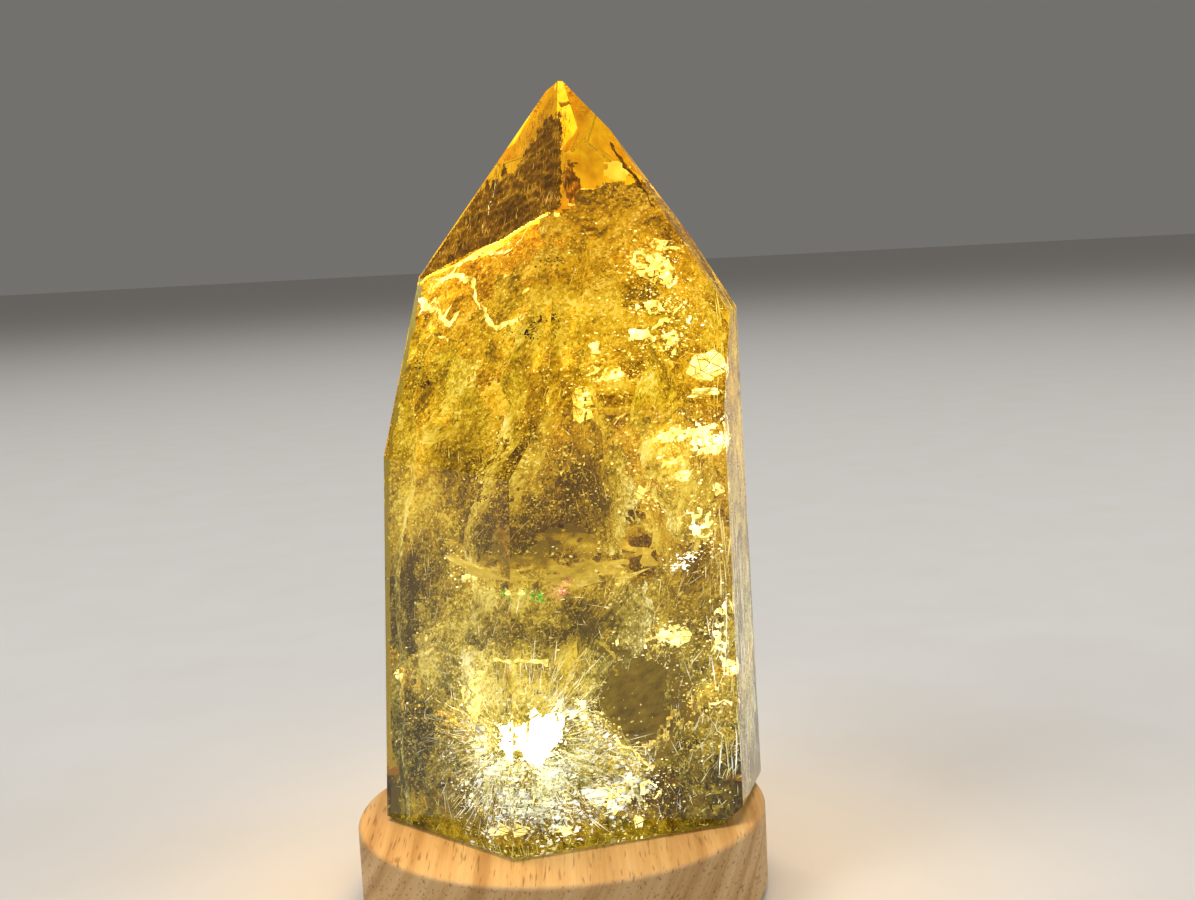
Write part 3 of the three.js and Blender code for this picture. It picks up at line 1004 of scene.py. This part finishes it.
CRUMPLED = [  # centre, facing, lean, width, height, wave, lace
    ((27, 4, 152), -75, 15, 12, 9, 3, 0), ((32, 2, 148), -65, 15, 7, 11, 3, 0),
    ((28, -2, 141), -75, 10, 15, 6, 3, 0.05), ((24, -7, 134), -80, 10, 9, 8, 3, 0.05),
    ((31, -7, 133), -75, 10, 6, 8, 2, 0.05), ((35, -7, 141), -60, 5, 6, 14, 3, 0.1),
    ((13, -9, 132), -80, 0, 6, 5, 2, 0.1), ((14, -12, 126), -80, 0, 12, 6, 2, 0.15),
    ((10, -18, 121.5), -80, 0, 5, 5, 2, 0), ((38, -15.5, 112), -75, 0, 10, 9, 3, -0.1),
    ((30, -16, 113), -80, 0, 13, 5, 3, 0), ((24, -17.5, 100), -80, 0, 8, 6, 3, 0),
    ((36, -15, 93), -70, 0, 8, 12, 3, 0.15), ((22, -20, 67.5), -80, 10, 15, 5, 3, 0),
    ((39, -16, 66), -70, 0, 4, 16, 2, 0), ((-15, -17, 84), -110, 0, 10, 6, 2, 0.15),
    ((-28, -8, 66), -130, 0, 9, 9, 3, 0.3), ((-17, -18, 56), -120, 5, 8, 14, 3, 0.1),
    ((18, -20, 32), -80, 10, 14, 8, 3, 0.05),
]
CRAZED_PLATE = ((39, -10, 127), -70, 12, 9.5, 10, 12)
SPLINTERS = 1.8  # to a square millimetre of crumpled crack
THREADS = 170
THREAD_LENGTHS = (8, 34)  # mm
THREAD_WIDTH = 0.13

# A wide open crack that mirrors the lamp: cream white low down and pale gold above, with
# darker places between.
bright_crack = glitter(
    "mirror_bright_crack", 1.2, 5, "7a6f3e dcd09c fff8dc ffffff", strength=2.1,
    high="8a6c14 e6cc70 fff2b8 fffcec",
)
bm = bmesh.new()
start_draws(13)
for ribbon in RIBBONS:
    add_ribbon(bm, *ribbon)
inclusion("bright_ribbons", bm, bright_crack)

bm = bmesh.new()
start_draws(17)
made = 0
while made < THREADS:
    spot = random_place()
    if not in_cloud(spot, 3):
        continue
    path = [spot.copy()]
    way = Vector((0.5, 0.3, 1)) + noise_vector(spot / 30)
    for step in range(int(uniform(*THREAD_LENGTHS) / 2)):
        way = (way + 0.35 * noise_vector(path[-1] / 16)).normalized()
        ahead = path[-1] + way * 2
        if not in_cloud(ahead, 2):
            break
        path.append(ahead)
    if len(path) > 3:
        add_ribbon(bm, THREAD_WIDTH * uniform(0.6, 1.7), *path)
        made += 1
inclusion("sweeping_threads", bm, open_crack)


def add_shards(bm, centre, facing, lean, width, height, cuts, kept=0.85, tilt=0.5):
    """Adds an angular plate that straight cracks have split into loose, tilted shards."""
    turn_to = direction(facing, lean).to_track_quat("Z", "Y")
    plate = bmesh.new()
    bmesh.ops.create_circle(plate, cap_ends=True, segments=11, radius=0.5)
    for corner in plate.verts:
        corner.co *= uniform(0.6, 1.25)
    for cut in range(cuts):
        angle = gauss(pi / 2 if cut % 3 else 0.2, 0.35)
        bmesh.ops.bisect_plane(
            plate, geom=plate.verts[:] + plate.edges[:] + plate.faces[:],
            plane_co=(uniform(-0.4, 0.4), uniform(-0.45, 0.45), 0),
            plane_no=(cos(angle), sin(angle), 0),
        )
    for face in plate.faces:
        if random() > kept:
            continue
        middle = face.calc_center_median()
        slope = (uniform(-tilt, tilt), uniform(-tilt, tilt))
        shrink = uniform(0.75, 0.97)
        corners = []
        for corner in face.verts:
            offset = corner.co - middle
            flat = middle + offset * shrink
            lift = offset.x * width * slope[0] + offset.y * height * slope[1]
            spot = Vector((flat.x * width, flat.y * height, lift))
            spot += noise_vector(spot / 3) * 0.4
            corners.append(bm.verts.new(Vector(centre) + turn_to @ spot))
        bm.faces.new(corners)
    plate.free()


bm = bmesh.new()
start_draws(14)
for plate in PLATES:
    add_shards(bm, *plate)
inclusion("bright_plates", bm, bright_crack)
veil_piece("crumpled_cracks", bright_crack, CRUMPLED, 61, margin=0.8, cell=FINE_CELL, strand=STRAND)
bm = bmesh.new()
add_shards(bm, *CRAZED_PLATE, kept=1, tilt=0.1)
inclusion("crazed_plate", bm, bright_crack)


def add_splinters(bm, count, centre, facing, lean, width, height):
    """Strews small flakes over and round a crack, thinning out away from its middle."""
    turn_to = direction(facing, lean).to_track_quat("Z", "Y")
    for splinter in range(count):
        spread = Vector((gauss(0, width / 2), gauss(0, height / 2), gauss(0, 1)))
        spot = Vector(centre) + turn_to @ spread
        lie = strayed(direction(facing, lean), 0.8)
        size = 0.2 + 0.9 * random() ** 3
        if depth_inside(spot) > 0.8:
            add_flake(bm, spot, lie, size, uniform(0.3, 0.9))


bm = bmesh.new()
start_draws(21)
for mass in CRUMPLED:
    add_splinters(bm, int(SPLINTERS * mass[3] * mass[4]), *mass[:5])
inclusion("crack_splinters", bm, bright_crack)

# Glare over the lamp
# The LED shines through the foot onto a shattered patch of stone, which glows white, and
# onto the loose chips around it.

GLARE_PLATES = [  # centre, facing, lean, width, height, cracks
    ((-5, -25, 48), -85, 5, 12, 10, 2), ((-6, -24.5, 44), -90, 10, 9, 8, 2),
    ((-2, -25, 50), -80, 10, 7, 6, 2),
]
GLARE_WINGS = [
    ((-15, -20, 47), -120, 15, 8, 9, 10), ((-2, -24, 40), -80, 20, 14, 8, 22),
    ((-9, -24, 37), -100, 20, 12, 9, 20), ((3, -24, 53), -85, 10, 9, 7, 14),
    ((-4, -26, 30), -90, 10, 22, 8, 30), ((12, -22, 32), -80, 10, 16, 9, 26),
]
GLARE_SPLINTERS = 90  # round each of its plates
GLARE_REACH = ((-3, -21, 37), (26, 13, 21))  # mm: middle and half sizes of the lit chips' cloud
LIT_CHIPS = 6500

# Freshly shattered quartz in full light: no tone is left in it but white.
glaring_crack = glitter("glaring_crack", 2, 10, "f0f0ff ffffff ffffff ffffff", strength=5)
# The same a little off the beam: white with grey shadows between the chips.
lit_chip = glitter("lit_chip", 1.2, 8, "80828e bcc4d8 dfe6ff f4f8ff", strength=1.4, glance=0.6)
bm = bmesh.new()
start_draws(15)
for plate in GLARE_PLATES:
    add_shards(bm, *plate, kept=1, tilt=0.1)
for centre, facing, lean, width, height, cuts in GLARE_PLATES:
    add_splinters(bm, GLARE_SPLINTERS, centre, facing, lean, width * 0.75, height * 0.75)
inclusion("lamp_glare", bm, glaring_crack)

bm = bmesh.new()
for plate in GLARE_WINGS:
    add_shards(bm, *plate, kept=0.5, tilt=1)
middle, half_sizes = GLARE_REACH
made = 0
while made < LIT_CHIPS:
    out = any_way() * random() ** 0.6
    spot = Vector([m + o * h for m, o, h in zip(middle, out, half_sizes)])
    drift = noise(spot / 6) + 0.5 * noise(spot / 2)
    if random() > 0.5 + 1.6 * drift or not in_cloud(spot, 0.8):
        continue
    lie = strayed(noise_vector(spot / 8), 0.5)
    size = 0.25 + 1.3 * random() ** 4
    add_flake(bm, spot, lie, size, uniform(0.15, 0.9))
    made += 1
inclusion("lit_chips", bm, lit_chip)

# Lens
# A larger, gently sloping crack across the middle, like a pale watch glass with a clear
# opening in it, and an upright one at the back of the clear window low on the right.

LENS_MIDDLE = Vector((1, -13, 85))  # mm
LENS_RADII = (23, 10)
LENS_SLOPE = 25  # degrees, down towards the front
LENS_OPENING = (Vector((-4, -18, 83)), 3.6)
WINDOW_FILM = ((17, 0, 51), -80, 0, 30, 34, 2, -1.2)  # as a veil's values

# A smooth healed crack: milky straw, hardly speckled.
milky_film = glitter(
    "milky_film", 3, 15, "8a7c34 b4a44e d0c070 efe6b0", strength=1,
    high="8a7414 b89c28 d4ba48 f4e48c", creases=0.2,
)
# The same with the dusk of the stone behind it: quiet olive.
olive_film = glitter("olive_film", 3, 12, "645a26 80743a 948850 aca67e", strength=0.9, shine=0)


def in_stone(point, margin):
    return depth_inside(point) > margin


veil_piece("window_film", olive_film, [WINDOW_FILM], 71, where=in_stone)

bm = bmesh.new()
bmesh.ops.create_circle(bm, cap_ends=True, cap_tris=True, segments=64, radius=1)
bmesh.ops.subdivide_edges(bm, edges=bm.edges, cuts=6, use_grid_fill=True)
for corner in bm.verts:
    across, deep = corner.co.x, corner.co.y
    rise = LENS_RADII[1] * deep * tan(radians(LENS_SLOPE))
    rise += 1.5 * (across**2 + deep**2) - 2 * across + noise(corner.co * 2.2)
    offset = Vector((LENS_RADII[0] * across, LENS_RADII[1] * deep, rise))
    corner.co = LENS_MIDDLE + offset * (1 + 0.15 * noise(corner.co * 3))


def lens_ends(face, spot):
    middle, reach = LENS_OPENING
    wander = 1 + 0.5 * noise(spot / 2)
    thin = noise(spot / 5) + 0.5 * noise(spot / 1.6) < -0.1
    return (spot - middle).length < reach * wander or thin or depth_inside(spot) < 1.5


tear(bm, bm.faces, lens_ends)
inclusion("sloping_lens", bm, milky_film)

# Coloured glints
# Tiny cracks so thin that light breaks into colour in them, green and rose, a silvery
# cluster, and specks of dark mineral.

# Light broken by a film of air thinner than a hair: pure leaf green.
green_glint = glitter("green_interference", 1, 6, "1f5a1c 3fa02c 7fd04a d8f0a0", strength=1.4)
# The same film a little thicker: rose to wine red.
rose_glint = glitter("rose_interference", 1, 6, "6e2a30 b05a62 e09aa0 ffe0e0", strength=1.4)
# Thin wedges of trapped air that mirror the room: cool silver.
silver_glint = glitter("silver_crack", 1.2, 4, "8f8f9c d0d2e0 f4f4ff ffffff", strength=2.2)
# Specks of iron oxide and clay: dull dark brown.
dark_mineral = glitter("dark_mineral", 1, 4, "1a1206 2c1f0c 4a3614 6e5220", strength=0.4, roughness=0.8)
start_draws(19)
for name, material, clusters in (  # each cluster: middle, spread and number of chips
    ("green_glint", green_glint, [((-3, -22, 79), 1.1, 60), ((-6, -22, 80), 0.8, 20)]),
    ("rose_glint", rose_glint, [((2, -21, 80), 1.3, 60), ((4, -21, 81.5), 0.8, 25)]),
    ("silver_cluster", silver_glint, [((30, -17, 83.5), 1.6, 70), ((33, -16, 85), 1.2, 40)]),
    ("dark_specks", dark_mineral, [
        ((1, -8, 136), 1.6, 80), ((3, -8, 139), 1, 40), ((-26, 3, 126), 1.4, 60),
        ((-3, -5, 137), 0.8, 20), ((5, -3, 153), 1.5, 40), ((-28, 6, 130), 0.9, 25),
    ]),
):
    bm = bmesh.new()
    for middle, spread, count in clusters:
        for chip in range(count):
            offset = Vector([gauss(0, spread) for axis in range(3)])
            offset.z *= 0.6
            spot = Vector(middle) + offset
            add_flake(bm, spot, any_way(), uniform(0.3, 1.1), uniform(0.3, 0.9))
    inclusion(name, bm, material)
